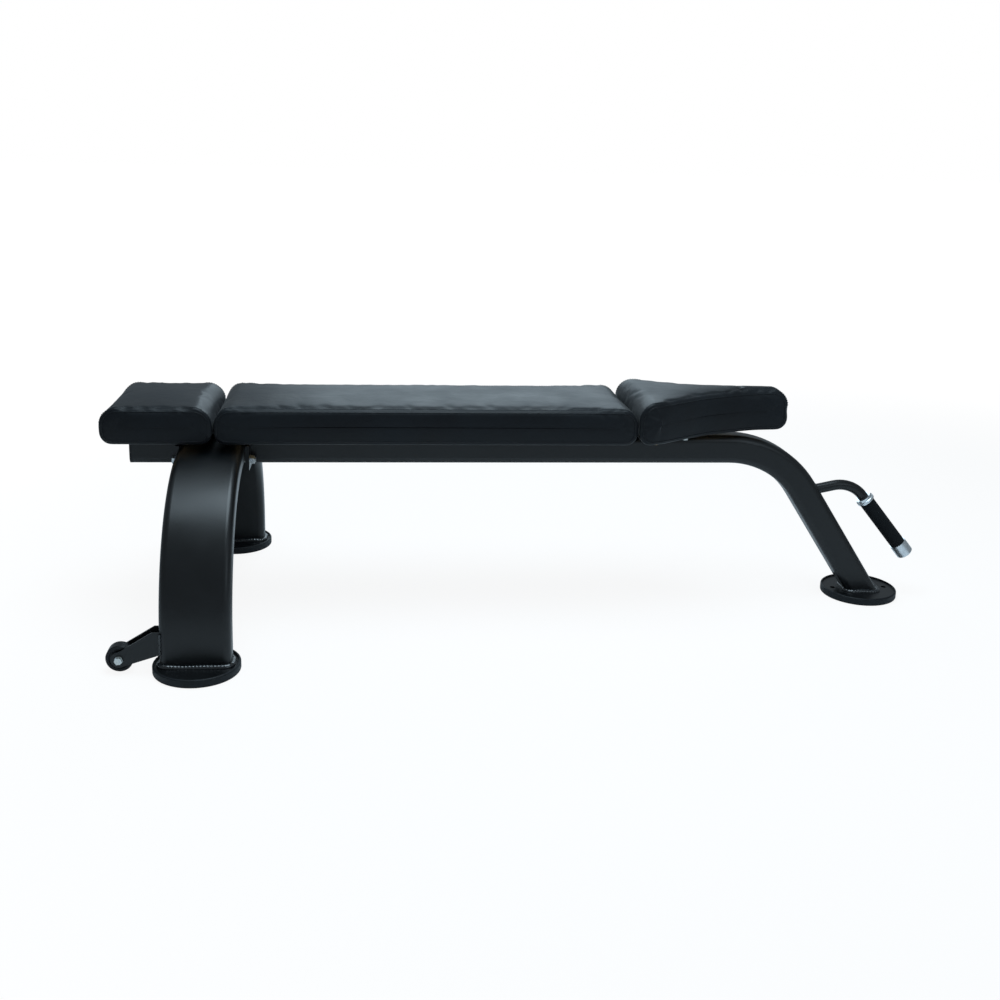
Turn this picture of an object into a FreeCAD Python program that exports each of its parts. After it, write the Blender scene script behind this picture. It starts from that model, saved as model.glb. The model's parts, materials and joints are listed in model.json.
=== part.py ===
import FreeCAD, Part
import math
import os
import re
import Sketcher
from FreeCAD import Placement, Rotation, Vector

# Flat weight bench: three upholstered pads on one bent square tube, a two-legged arch under the
# head end, a slanted leg with a lifting handle at the seat end and two transport wheels.
# X runs along the bench towards the seat end, Y across it, Z up from the floor.
# The origin is on the floor at the centre of the single foot under the seat end.

SIZES = [
    # feet
    ("span", 1393, "arch plane to the centre of the single foot"),
    ("foot_spread", 696, "between the centres of the two arch feet"),
    ("foot_margin", 15, "arch tube's edge to the outside of its boot"),
    ("boot_height", 16, "floor to the top of a boot's rim"),
    ("boot_floor", 5, "rubber under a foot plate"),
    ("boot_wall", 4, "rubber round a foot plate"),
    ("boot_round", 3, "outer edges of a boot"),
    ("foot_fit", 0.2, "gap round a foot plate"),
    ("foot_plate", 8, "thickness of a foot plate"),
    ("anchor_offset", 58, "foot centre to a floor anchor hole"),
    ("anchor_radius", 5.5, "floor anchor hole"),
    # main beam
    ("beam_side", 60, "square tube, outside"),
    ("beam_wall", 3, "square tube, wall"),
    ("beam_corner", 14, "square tube, outside corner"),
    ("beam_bottom", 303, "floor to the underside of the beam"),
    ("beam_overhang", 164, "beam beyond the arch plane"),
    ("bend_radius", 200, "beam bend, on the centre line"),
    ("leg_tilt", 33.7, "slanted leg, degrees from upright"),
    ("cap_lip", 5, "end cap outside the tube"),
    ("cap_plug", 22, "end cap inside the tube"),
    ("cap_fit", 0.2, "gap round the end cap's plug"),
    # arch legs
    ("arch_width", 130, "arch tube along the bench"),
    ("arch_depth", 45, "arch tube across its bend"),
    ("arch_corner", 14, "arch tube, outside corner"),
    ("arch_wall", 3, "arch tube, wall"),
    ("arch_radius", 275, "arch bend, on the centre line"),
    ("arch_drop", 10, "arch top below the beam's top"),
    # clamp plates that hold the arch legs to the beam
    ("clamp_thick", 8, "clamp plate"),
    ("clamp_half", 60, "clamp plate, half of its width"),
    ("clamp_below", 6, "clamp plate under the beam"),
    ("clamp_above", 45, "clamp plate above the beam's underside"),
    ("clamp_bolt_y", 47, "clamp bolt from the middle"),
    ("clamp_bolt_up", 14, "clamp bolt above the beam's underside"),
    # fasteners
    ("large_bolt", 5, "clamp bolt, shank radius"),
    ("large_head", 8.9, "clamp bolt, head radius over corners"),
    ("large_head_high", 6.4, "clamp bolt, head height"),
    ("large_nut", 8, "clamp nut, height"),
    ("large_washer", 10, "clamp washer, outside radius"),
    ("small_bolt", 4, "wheel and pad bolt, shank radius"),
    ("small_head", 7.2, "wheel and pad bolt, head radius over corners"),
    ("small_head_high", 5.3, "wheel and pad bolt, head height"),
    ("small_nut", 6.4, "wheel nut, height"),
    ("small_washer", 7.5, "small washer, outside radius"),
    ("washer_thick", 1.6, "all washers"),
    ("bolt_play", 0.3, "gap round a bolt in a plain hole"),
    ("thread_gap", 0.05, "gap round a bolt in its nut"),
    ("bolt_past", 3, "bolt end beyond its nut"),
    # pads
    ("bar_thick", 4, "flat bar under a pad"),
    ("bar_width", 40, "flat bar along the bench"),
    ("bar_length", 170, "flat bar across the head and back pads"),
    ("seat_bar_end", 12, "seat pad bolt to the end of its bar"),
    ("head_reach", 206, "head pad beyond the arch plane"),
    ("head_length", 214, "head pad"),
    ("back_length", 838, "back pad"),
    ("seat_length", 338, "seat pad"),
    ("pad_gap", 4, "between two pads"),
    ("pad_width", 248, "head and back pad"),
    ("pad_thick", 73, "head and back pad"),
    ("pad_round", 32, "top rounding at the ends of a pad"),
    ("pad_under", 22, "bottom rounding at the ends of a pad"),
    ("seat_thick", 86, "seat pad"),
    ("seat_tilt", 1.5, "seat pad, degrees up towards its nose"),
    ("seat_half", 127, "seat pad, half of its wide end"),
    ("middle_half", 58, "seat pad, half of its width at the middle of its sides"),
    ("nose_half", 22, "seat pad, half of its nose"),
    ("seat_shoulder", 36, "wide end of the seat pad, along the bench"),
    ("seat_middle", 150, "wide end to the middle of the narrowing sides"),
    ("seat_waist", 260, "wide end to the start of the nose"),
    ("shoulder_round", 80, "seat's plan, rounding of a shoulder"),
    ("waist_round", 170, "seat's plan, rounding of the middle and the waist"),
    ("board_thick", 12, "plywood under the foam"),
    ("board_inset", 9, "pad edge to the edge of its board"),
    ("board_fit", 0.3, "gap round a board"),
    ("pad_bolt_y", 60, "head and back pad bolt from the middle"),
    ("seat_bolt_out", 10, "beam's side to a seat pad bolt"),
    ("bolt_short", 1, "top of a board to the end of a pad bolt"),
    ("head_bar_in", 45, "end of the head pad to the middle of its first bar"),
    ("head_bar_gap", 78, "between the head bars"),
    ("back_bar_in", 150, "end of the back pad to the middle of its end bar"),
    ("seat_bar_in", 45, "wide end of the seat pad to the middle of its first bar"),
    ("seat_bar_gap", 70, "between the seat bars"),
    ("tee_flange", 10, "tee nut, flange radius"),
    ("tee_flange_thick", 1.5, "tee nut, flange"),
    ("tee_barrel", 5, "tee nut, barrel radius"),
    ("tee_high", 9, "tee nut, whole height"),
    # transport wheels
    ("wheel_radius", 25, "wheel"),
    ("wheel_width", 24, "wheel"),
    ("wheel_dish", 2, "hollow in a wheel's side"),
    ("dish_slope", 1, "sloping edge of the hollow"),
    ("rim_width", 6, "outer ring of a wheel's side"),
    ("hub_width", 1, "ring round the bush flange"),
    ("tread_bevel", 1.5, "edge of a wheel's tread"),
    ("wheel_reach", 137, "arch plane to a wheel's axle"),
    ("axle_up", 28, "floor to a wheel's axle"),
    ("bush_outer", 9, "wheel bush, outside radius"),
    ("bush_flange", 12, "wheel bush, flange radius"),
    ("bush_flange_thick", 1, "wheel bush flange"),
    ("spacer_outer", 6, "axle spacer, outside radius"),
    ("run_gap", 0.05, "wheel bush round its spacer"),
    ("side_play", 0.5, "wheel bush to a fork plate"),
    ("fork_thick", 4, "fork plate"),
    ("fork_eye", 15, "round end of a fork plate"),
    ("fork_top", 80, "floor to the top of a fork plate at the leg"),
    ("fork_low", 36, "floor to the bottom of a fork plate at the leg"),
    ("fork_flat", 12, "level top of a fork plate beside the leg"),
    # lifting handle
    ("handle_up", 240, "floor to the handle's root on the slanted leg"),
    ("handle_rise", 12, "handle's root, degrees above level"),
    ("handle_root", 37, "straight stretch at the handle's root"),
    ("handle_bend", 68, "handle bend, on the centre line"),
    ("grip_tilt", 40, "grip, degrees from upright"),
    ("handle_tube", 11, "handle tube, radius"),
    ("handle_wall", 2.5, "handle tube, wall"),
    ("grip_lead", 3, "bend to the collar"),
    ("collar_length", 12, "collar above the grip"),
    ("collar_radius", 19, "collar above the grip"),
    ("collar_step", 2, "lower edge of the collar over its upper part"),
    ("grip_length", 126, "rubber grip"),
    ("grip_radius", 16, "rubber grip"),
    ("tip_length", 32, "metal end cap"),
    ("tip_radius", 18, "metal end cap"),
    ("tip_bevel", 2, "edge of the metal end cap"),
    ("tip_wall", 4, "closed end of the metal end cap"),
    ("sleeve_fit", 0.05, "gap between the handle tube and what slides over it"),
]
SIZE = {alias: value for alias, value, meaning in SIZES}
CUT_PAST = 60     # how far a cutting solid runs beyond the piece that it cuts
TOUCH = 0.01      # how near two places are that count as one

ALONG_X = Rotation(Vector(0, 1, 0), 90)          # turns a solid's Z axis to +X
ALONG_Y = Rotation(Vector(1, 0, 0), -90)         # turns a solid's Z axis to +Y
SIDE_VIEW = Rotation(Vector(1, 0, 0), 90)        # sketch X to +X, sketch Y to +Z
FRONT_VIEW = Rotation(Vector(0, -1, 0), Vector(0, 0, 1), Vector(-1, 0, 0), "XYZ")

# places that several pieces share, as formulas of the sheet's names
FOOT_RADIUS = "(arch_width / 2 + foot_margin)"
FOOT_TOP = "(boot_floor + foot_plate)"
BEAM_MID = "(beam_bottom + beam_side / 2)"
BEAM_TOP = "(beam_bottom + beam_side)"
BEAM_START = "(-span - beam_overhang)"
ARCH_MID = "(beam_bottom + beam_side - arch_drop - arch_depth / 2)"
PAD_BOTTOM = "(beam_bottom + beam_side + bar_thick)"
HEAD_START = "(-span - head_reach)"
BACK_START = "(-span - head_reach + head_length + pad_gap)"
SEAT_START = "(-span - head_reach + head_length + back_length + 2 * pad_gap)"
LEG_FRONT_Y = "(-foot_spread / 2)"
SEAT_BOLT_Y = "(beam_side / 2 + seat_bolt_out)"
SEAT_BAR_LENGTH = "(beam_side + 2 * seat_bolt_out + 2 * seat_bar_end)"
WHEEL_X = "(-span - wheel_reach)"
BUSH_LENGTH = "(wheel_width + 2 * bush_flange_thick)"
FORK_GAP = "(wheel_width + 2 * bush_flange_thick + 2 * side_play)"

doc = FreeCAD.newDocument("WeightBench")
sheet = doc.addObject("Spreadsheet::Sheet", "Dimensions")
for row, (alias, value, meaning) in enumerate(SIZES, start=1):
    sheet.set("A%d" % row, meaning)
    sheet.set("B%d" % row, str(value))
    sheet.setAlias("B%d" % row, alias)
doc.recompute()

pieces = []


def formula(text):
    """A formula whose names are the sheet's, as an expression that refers to the sheet."""
    return re.sub(r"[a-z_]+", lambda word: "Dimensions." + word[0] if word[0] in SIZE else word[0],
                  str(text))


def bind(thing, **sizes):
    for name, text in sizes.items():
        thing.setExpression(name, formula(text))


def place(thing, x=0, y=0, z=0, turn=None):
    """Puts an object at a place given by formulas, after a fixed turn."""
    if turn is not None:
        thing.Placement = Placement(Vector(), turn)
    for axis, text in zip("xyz", (x, y, z)):
        thing.setExpression("Placement.Base." + axis, formula(text))
    return thing


def lean(thing, axis, angle, x=0, y=0, z=0):
    """Puts an object at a place, turned about an axis by an angle of the sheet."""
    thing.Placement = Placement(Vector(), Rotation(axis, 1))
    thing.setExpression("Placement.Rotation.Angle", formula(angle))
    return place(thing, x, y, z)


def box(name, length, width, height, **spot):
    solid = doc.addObject("Part::Box", name)
    bind(solid, Length=length, Width=width, Height=height)
    return place(solid, **spot)


def cylinder(name, radius, height, **spot):
    solid = doc.addObject("Part::Cylinder", name)
    bind(solid, Radius=radius, Height=height)
    return place(solid, **spot)


def hexagon(name, radius, height, **spot):
    solid = doc.addObject("Part::Prism", name)
    solid.Polygon = 6
    bind(solid, Circumradius=radius, Height=height)
    return place(solid, **spot)


def cut(name, base, tools):
    """The base less every tool."""
    if len(tools) == 1:
        tool = tools[0]
    else:
        tool = doc.addObject("Part::MultiFuse", name + "_tools")
        tool.Shapes = tools
    result = doc.addObject("Part::Cut", name)
    result.Base = base
    result.Tool = tool
    return result


def fuse(name, solids):
    result = doc.addObject("Part::MultiFuse", name)
    result.Shapes = solids
    return result


def group(name, solids):
    """Separate solids that are kept together in one piece."""
    result = doc.addObject("Part::Compound", name)
    result.Links = solids
    return result


def mirror(name, source):
    """The same piece on the other side of the bench."""
    twin = doc.addObject("Part::Mirroring", name)
    twin.Source = source
    twin.Base = Vector(0, 0, 0)
    twin.Normal = Vector(0, 1, 0)
    return twin


def keep(label, thing):
    """Marks an object as a piece of the bench, named by its label."""
    thing.Label = label
    pieces.append(thing)
    return thing


def body_sketch(body, plane):
    sketch = body.newObject("Sketcher::SketchObject", body.Name + "_sketch")
    for feature in body.Origin.OriginFeatures:
        if feature.Role == plane:
            sketch.AttachmentSupport = [(feature, "")]
    sketch.MapMode = "FlatFace"
    return sketch


def outline(sketch, points):
    """A closed outline of straight lines whose corners are given by formulas."""
    count = len(points)
    rough = [Vector(math.cos(2 * math.pi * k / count), math.sin(2 * math.pi * k / count), 0)
             for k in range(count)]
    for k in range(count):
        sketch.addGeometry(Part.LineSegment(rough[k], rough[(k + 1) % count]), False)
    for k in range(count):
        sketch.addConstraint(Sketcher.Constraint("Coincident", k, 2, (k + 1) % count, 1))
    for k, corner in enumerate(points):
        for kind, text, start in zip(("DistanceX", "DistanceY"), corner, (rough[k].x, rough[k].y)):
            index = sketch.addConstraint(Sketcher.Constraint(kind, -1, 1, k, 1, start))
            sketch.setExpression("Constraints[%d]" % index, formula(text))


def turned(name, points):
    """A solid of revolution about Z from an outline of radius and height."""
    body = doc.addObject("PartDesign::Body", name)
    sketch = body_sketch(body, "XZ_Plane")
    outline(sketch, points)
    spin = body.newObject("PartDesign::Revolution", name + "_spin")
    spin.Profile = sketch
    spin.ReferenceAxis = (sketch, ["V_Axis"])
    spin.Angle = 360
    return body


def ring(name, inner, outer, height, **spot):
    """A plain ring, such as a washer or a sleeve."""
    return place(turned(name, [(inner, 0), (outer, 0), (outer, height), (inner, height)]), **spot)


def plate(name, plane, points, thickness, both_ways=False):
    """A flat outline given a thickness."""
    body = doc.addObject("PartDesign::Body", name)
    sketch = body_sketch(body, plane)
    outline(sketch, points)
    pad = body.newObject("PartDesign::Pad", name + "_pad")
    pad.Profile = sketch
    if both_ways:
        pad.SideType = "Symmetric"
    bind(pad, Length=thickness)
    return body


def round_edges(body, name, radius, wanted):
    """Rounds the edges of a body's last feature that a test picks."""
    doc.recompute()
    last = body.Tip
    names = ["Edge%d" % (k + 1) for k, edge in enumerate(last.Shape.Edges) if wanted(edge)]
    fillet = body.newObject("PartDesign::Fillet", name)
    fillet.Base = (last, names)
    bind(fillet, Radius=radius)
    body.Tip = fillet


def rounded_rectangle(name, width, height, corner):
    """A centred rectangle with round corners; sketch X is the width."""
    sketch = doc.addObject("Sketcher::SketchObject", name)
    wide, high, turn = 50.0, 30.0, 5.0
    side = [(wide, -1, 0), (high, 0, 1), (wide, 1, 0), (high, -1, 0)]
    corners = [Vector(wide - turn, high - turn, 0), Vector(turn - wide, high - turn, 0),
               Vector(turn - wide, turn - high, 0), Vector(wide - turn, turn - high, 0)]
    for k in range(4):
        first, second = corners[k], corners[(k + 1) % 4]
        out = Vector(math.cos(math.pi / 2 * (k + 1)), math.sin(math.pi / 2 * (k + 1)), 0) * turn
        sketch.addGeometry(Part.LineSegment(first + out, second + out), False)
    for k in range(4):
        circle = Part.Circle(corners[k], Vector(0, 0, 1), turn)
        sketch.addGeometry(Part.ArcOfCircle(circle, math.pi / 2 * k, math.pi / 2 * (k + 1)), False)
    for k in range(4):
        sketch.addConstraint(Sketcher.Constraint("Tangent", 4 + k, 2, k, 1))
        sketch.addConstraint(Sketcher.Constraint("Tangent", k, 2, 4 + (k + 1) % 4, 1))
        sketch.addConstraint(Sketcher.Constraint("Horizontal" if k % 2 == 0 else "Vertical", k))
    for k in range(3):
        sketch.addConstraint(Sketcher.Constraint("Equal", 4, 5 + k))
    radius = sketch.addConstraint(Sketcher.Constraint("Radius", 4, turn))
    sketch.setExpression("Constraints[%d]" % radius, formula(corner))
    for kind, line, text, start in (("DistanceX", 3, width, wide), ("DistanceY", 0, height, high)):
        index = sketch.addConstraint(Sketcher.Constraint(kind, -1, 1, line, 1, start))
        sketch.setExpression("Constraints[%d]" % index, formula("(%s) / 2" % text))
    for kind, line, text, start in (("DistanceX", 1, width, wide), ("DistanceY", 2, height, high)):
        index = sketch.addConstraint(Sketcher.Constraint(kind, line, 1, -1, 1, start))
        sketch.setExpression("Constraints[%d]" % index, formula("(%s) / 2" % text))
    return sketch


def bent_path(name, start, end, bend, fall, turn, numbers):
    """A level line from start, an arc, and a line that falls to end at an angle below level.

    numbers is the same path in plain millimetres, which the sketch starts from."""
    sketch = doc.addObject("Sketcher::SketchObject", name)
    (sx, sy), (ex, ey), radius, drop = numbers
    corner = Vector(ex if fall is None else ex - (sy - ey) / math.tan(drop), sy, 0)
    reach = radius * math.tan(drop / 2)
    level_end = corner - Vector(reach, 0, 0)
    fall_start = corner + Vector(math.cos(drop), -math.sin(drop), 0) * reach
    centre = level_end - Vector(0, radius, 0)
    sketch.addGeometry(Part.LineSegment(Vector(sx, sy, 0), level_end), False)
    circle = Part.Circle(centre, Vector(0, 0, 1), radius)
    sketch.addGeometry(Part.ArcOfCircle(circle, math.pi / 2 - drop, math.pi / 2), False)
    sketch.addGeometry(Part.LineSegment(fall_start, Vector(ex, ey, 0)), False)
    sketch.addConstraint(Sketcher.Constraint("Tangent", 0, 2, 1, 2))
    sketch.addConstraint(Sketcher.Constraint("Tangent", 1, 1, 2, 1))
    sketch.addConstraint(Sketcher.Constraint("Horizontal", 0))
    bound = [(Sketcher.Constraint("Radius", 1, radius), bend),
             (Sketcher.Constraint("DistanceX", -1, 1, 0, 1, sx), start[0]),
             (Sketcher.Constraint("DistanceY", -1, 1, 0, 1, sy), start[1]),
             (Sketcher.Constraint("DistanceX", -1, 1, 2, 2, ex), end[0]),
             (Sketcher.Constraint("DistanceY", -1, 1, 2, 2, ey), end[1])]
    for constraint, text in bound:
        index = sketch.addConstraint(constraint)
        sketch.setExpression("Constraints[%d]" % index, formula(text))
    if fall is None:
        sketch.addConstraint(Sketcher.Constraint("Vertical", 2))
    else:
        index = sketch.addConstraint(Sketcher.Constraint("Angle", 2, -drop))
        sketch.setExpression("Constraints[%d]" % index, formula(fall))
    sketch.Placement = Placement(Vector(), turn)
    return sketch


def sweep(name, section, path):
    result = doc.addObject("Part::Sweep", name)
    result.Sections = [section]
    result.Spine = (path, ["Edge%d" % (k + 1) for k in range(path.GeometryCount)])
    result.Solid = True
    result.Frenet = False
    return result


# ---- feet: a steel plate that sits in a rubber boot

def foot(name, x, y, holes):
    well = FOOT_RADIUS + " - boot_wall"
    boot = turned(name + "_boot_body", [
        (0, 0), (FOOT_RADIUS, 0), (FOOT_RADIUS, "boot_height"), (well, "boot_height"),
        (well, "boot_floor"), (0, "boot_floor")])
    width = SIZE["arch_width"] + 2 * SIZE["foot_margin"]
    round_edges(boot, name + "_boot_edges", "boot_round",
                lambda edge: abs(edge.BoundBox.XLength - width) < TOUCH)
    steel = turned(name + "_plate_body", [
        (0, "boot_floor"), (well + " - foot_fit", "boot_floor"), (well + " - foot_fit", FOOT_TOP),
        (0, FOOT_TOP)])
    for part in (boot, steel):
        place(part, x=x, y=y)
    if holes:
        drills = [cylinder(name + "_drill", "anchor_radius", "boot_height", x="%s %s anchor_offset" % (x, sign))
                  for sign in "+-"]
        boot = cut(name + "_boot_cut", boot, drills)
        steel = cut(name + "_plate_cut", steel, drills)
    keep(name + "_boot", boot)
    keep(name + "_plate", steel)


foot("tail_foot", "0", "0", True)
foot("front_foot", "(-span)", LEG_FRONT_Y, False)
foot("back_foot", "(-span)", "foot_spread / 2", False)

# ---- main beam: level square tube that bends down into the slanted leg

steep = math.radians(90 - SIZE["leg_tilt"])
beam_mid = SIZE["beam_bottom"] + SIZE["beam_side"] / 2
foot_top = SIZE["boot_floor"] + SIZE["foot_plate"]
past = (CUT_PAST * math.sin(math.radians(SIZE["leg_tilt"])), CUT_PAST * math.sin(steep))
beam_path = bent_path(
    "beam_path", (BEAM_START, BEAM_MID),
    ("%d * sin(leg_tilt)" % CUT_PAST, "%s - %d * cos(leg_tilt)" % (FOOT_TOP, CUT_PAST)),
    "bend_radius", "leg_tilt - 90", SIDE_VIEW,
    ((-SIZE["span"] - SIZE["beam_overhang"], beam_mid), (past[0], foot_top - past[1]),
     SIZE["bend_radius"], steep))
skins = []
for name, shrink in (("outer", "0"), ("inner", "beam_wall")):
    section = rounded_rectangle("beam_" + name + "_section", "beam_side - 2 * " + shrink,
                                "beam_side - 2 * " + shrink, "beam_corner - " + shrink)
    place(section, x=BEAM_START, z=BEAM_MID, turn=ALONG_X)
    skins.append(sweep("beam_" + name, section, beam_path))
beam_outer, beam_inner = skins
under_tail = box("under_tail", "4 * " + FOOT_RADIUS, "4 * " + FOOT_RADIUS, CUT_PAST * 2,
                 x="-2 * " + FOOT_RADIUS, y="-2 * " + FOOT_RADIUS, z="%s - %d" % (FOOT_TOP, CUT_PAST * 2))
keep("main_beam", cut("beam_tube", beam_outer, [beam_inner, under_tail]))

lip = rounded_rectangle("cap_lip_section", "beam_side", "beam_side", "beam_corner")
plug_side = "beam_side - 2 * beam_wall - 2 * cap_fit"
plug = rounded_rectangle("cap_plug_section", plug_side, plug_side, "beam_corner - beam_wall")
cap_parts = []
for section, depth, start in ((lip, "cap_lip", BEAM_START + " - cap_lip"), (plug, "cap_plug", BEAM_START)):
    place(section, x=start, z=BEAM_MID, turn=ALONG_X)
    solid = doc.addObject("Part::Extrusion", section.Name + "_solid")
    solid.Base = section
    solid.Dir = Vector(1, 0, 0)
    solid.DirMode = "Custom"
    solid.Solid = True
    bind(solid, LengthFwd=depth)
    cap_parts.append(solid)
keep("beam_end_cap", fuse("end_cap", cap_parts))

# ---- arch legs: wide flat tube, level at the beam's side, bending down to a foot

arch_mid = SIZE["beam_bottom"] + SIZE["beam_side"] - SIZE["arch_drop"] - SIZE["arch_depth"] / 2
arch_path = bent_path(
    "arch_path", ("beam_side / 2", ARCH_MID), ("foot_spread / 2", FOOT_TOP), "arch_radius", None,
    FRONT_VIEW, ((SIZE["beam_side"] / 2, arch_mid), (SIZE["foot_spread"] / 2, foot_top),
                 SIZE["arch_radius"], math.pi / 2))
place(arch_path, x="-span")
skins = []
for name, shrink in (("outer", "0"), ("inner", "arch_wall")):
    section = rounded_rectangle("arch_" + name + "_section", "arch_width - 2 * " + shrink,
                                "arch_depth - 2 * " + shrink, "arch_corner - " + shrink)
    place(section, x="-span", y="-beam_side / 2", z=ARCH_MID, turn=SIDE_VIEW)
    skins.append(sweep("arch_" + name, section, arch_path))
arch_outer, arch_inner = skins


def clamp_drill(name, side):
    return cylinder(name, "large_bolt + bolt_play", "arch_width + 4 * clamp_thick",
                    x="-span - arch_width / 2 - 2 * clamp_thick", y="%s * clamp_bolt_y" % side,
                    z="beam_bottom + clamp_bolt_up", turn=ALONG_X)


drills = [clamp_drill("clamp_drill_front", "-1"), clamp_drill("clamp_drill_back", "1")]
front_leg = keep("front_leg", cut("front_arch", arch_outer, [arch_inner, drills[0]]))
keep("back_leg", mirror("back_arch", front_leg))

# ---- clamp plates: one each side of the arch legs, round the beam, with two through bolts

clamp_outline = [
    ("-clamp_half", "beam_bottom - clamp_below"), ("clamp_half", "beam_bottom - clamp_below"),
    ("clamp_half", "beam_bottom + clamp_above"), ("beam_side / 2", "beam_bottom + clamp_above"),
    ("beam_side / 2", "beam_bottom"), ("-beam_side / 2", "beam_bottom"),
    ("-beam_side / 2", "beam_bottom + clamp_above"), ("-clamp_half", "beam_bottom + clamp_above")]
for name, start in (("head", "-span - arch_width / 2 - clamp_thick"), ("seat", "-span + arch_width / 2")):
    blank = place(plate("clamp_%s_blank" % name, "YZ_Plane", clamp_outline, "clamp_thick"), x=start)
    keep("clamp_plate_" + name, cut("clamp_%s_cut" % name, blank, drills))


def bolt(name, shank, head, head_high, length, **spot):
    """A hexagon bolt along Z with its head below zero."""
    solids = [hexagon(name + "_head", head, head_high, z="-(%s)" % head_high),
              cylinder(name + "_shank", shank, length)]
    return place(fuse(name, solids), **spot)


def nut(name, shank, head, height, **spot):
    """A hexagon nut along Z."""
    blank = hexagon(name + "_blank", head, height)
    bore = cylinder(name + "_bore", "%s + thread_gap" % shank, height)
    return place(cut(name, blank, [bore]), **spot)


clamp_bolts, clamp_washers, clamp_nuts = [], [], []
for side in ("-1", "1"):
    spot = {"y": "%s * clamp_bolt_y" % side, "z": "beam_bottom + clamp_bolt_up", "turn": ALONG_X}
    low = "-span - arch_width / 2 - clamp_thick"
    high = "-span + arch_width / 2 + clamp_thick"
    grip = "arch_width + 2 * clamp_thick + 2 * washer_thick"
    clamp_bolts.append(bolt("clamp_bolt", "large_bolt", "large_head", "large_head_high",
                            grip + " + large_nut + bolt_past", x=low + " - washer_thick", **spot))
    for x in (low + " - washer_thick", high):
        clamp_washers.append(ring("clamp_washer", "large_bolt + bolt_play", "large_washer",
                                  "washer_thick", x=x, **spot))
    clamp_nuts.append(nut("clamp_nut", "large_bolt", "large_head", "large_nut",
                          x=high + " + washer_thick", **spot))
keep("clamp_bolts", group("clamp_bolt_group", clamp_bolts))
keep("clamp_washers", group("clamp_washer_group", clamp_washers))
keep("clamp_nuts", group("clamp_nut_group", clamp_nuts))

# ---- transport wheels: two fork plates on each arch foot, a bushed wheel on a bolt

eye_low = "axle_up - fork_eye"
eye_high = "axle_up + fork_eye"
fork_outline = [
    (WHEEL_X, eye_low), ("-span - arch_width / 2", "fork_low"), ("-span - arch_width / 3", "fork_low"),
    ("-span - arch_width / 3", "fork_top"), ("-span - arch_width / 2 - fork_flat", "fork_top"),
    (WHEEL_X, eye_high)]
forks = []
for side in (-1, 1):
    blade = plate("fork_blade", "XZ_Plane", fork_outline, "fork_thick")
    inner = "%s + %d * %s / 2" % (LEG_FRONT_Y, side, FORK_GAP)
    place(blade, y=inner if side < 0 else inner + " + fork_thick")
    eye = cylinder("fork_eye_disc", "fork_eye", "fork_thick", x=WHEEL_X, z="axle_up",
                   y=inner + (" - fork_thick" if side < 0 else ""), turn=ALONG_Y)
    forks.append(fuse("fork_side", [blade, eye]))
axle_drill = cylinder("axle_drill", "small_bolt + bolt_play", "2 * " + FORK_GAP, x=WHEEL_X,
                      y="%s - %s" % (LEG_FRONT_Y, FORK_GAP), z="axle_up", turn=ALONG_Y)
fork_sides = [cut("fork_trimmed", side, [arch_outer, axle_drill]) for side in forks]
front_fork = keep("front_wheel_fork", group("front_fork", fork_sides))

hub = "bush_flange + hub_width"
rim = "wheel_radius - rim_width"
tread = "wheel_radius - tread_bevel"
far_dish = "wheel_width - wheel_dish"
wheel = turned("wheel_body", [
    ("bush_outer", 0), (hub, 0), (hub + " + dish_slope", "wheel_dish"),
    (rim + " - dish_slope", "wheel_dish"), (rim, 0), (tread, 0), ("wheel_radius", "tread_bevel"),
    ("wheel_radius", "wheel_width - tread_bevel"), (tread, "wheel_width"), (rim, "wheel_width"),
    (rim + " - dish_slope", far_dish), (hub + " + dish_slope", far_dish), (hub, "wheel_width"),
    ("bush_outer", "wheel_width")])
place(wheel, x=WHEEL_X, y=LEG_FRONT_Y + " - wheel_width / 2", z="axle_up", turn=ALONG_Y)
front_wheel = keep("front_wheel", wheel)
inside = "spacer_outer + run_gap"
bush = turned("bush_body", [
    (inside, 0), ("bush_flange", 0), ("bush_flange", "bush_flange_thick"),
    ("bush_outer", "bush_flange_thick"), ("bush_outer", "bush_flange_thick + wheel_width"),
    ("bush_flange", "bush_flange_thick + wheel_width"), ("bush_flange", BUSH_LENGTH),
    (inside, BUSH_LENGTH)])
place(bush, x=WHEEL_X, y="%s - %s / 2" % (LEG_FRONT_Y, BUSH_LENGTH), z="axle_up", turn=ALONG_Y)
front_bush = keep("front_wheel_bush", bush)
spacer = ring("spacer_body", "small_bolt + thread_gap", "spacer_outer", FORK_GAP, x=WHEEL_X,
              y="%s - %s / 2" % (LEG_FRONT_Y, FORK_GAP), z="axle_up", turn=ALONG_Y)
front_spacer = keep("front_axle_spacer", spacer)
fork_half = "(%s / 2 + fork_thick)" % FORK_GAP
axle_spot = {"x": WHEEL_X, "z": "axle_up", "turn": ALONG_Y}
axle_bolt = bolt("axle_bolt", "small_bolt", "small_head", "small_head_high",
                 "2 * %s + 2 * washer_thick + small_nut + bolt_past" % fork_half,
                 y="%s - %s - washer_thick" % (LEG_FRONT_Y, fork_half), **axle_spot)
front_axle = keep("front_axle_bolt", axle_bolt)
axle_rings = [
    ring("axle_washer", "small_bolt + bolt_play", "small_washer", "washer_thick",
         y="%s - %s - washer_thick" % (LEG_FRONT_Y, fork_half), **axle_spot),
    ring("axle_washer", "small_bolt + bolt_play", "small_washer", "washer_thick",
         y="%s + %s" % (LEG_FRONT_Y, fork_half), **axle_spot)]
front_washers = keep("front_axle_washers", group("axle_washer_group", axle_rings))
axle_nut = nut("axle_nut", "small_bolt", "small_head", "small_nut",
               y="%s + %s + washer_thick" % (LEG_FRONT_Y, fork_half), **axle_spot)
front_nut = keep("front_axle_nut", axle_nut)
for front in (front_fork, front_wheel, front_bush, front_spacer, front_axle, front_washers, front_nut):
    keep(front.Label.replace("front", "back"), mirror("back_" + front.Name, front))

# ---- pads: foam and cover over a plywood board, on flat bars across the beam


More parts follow.
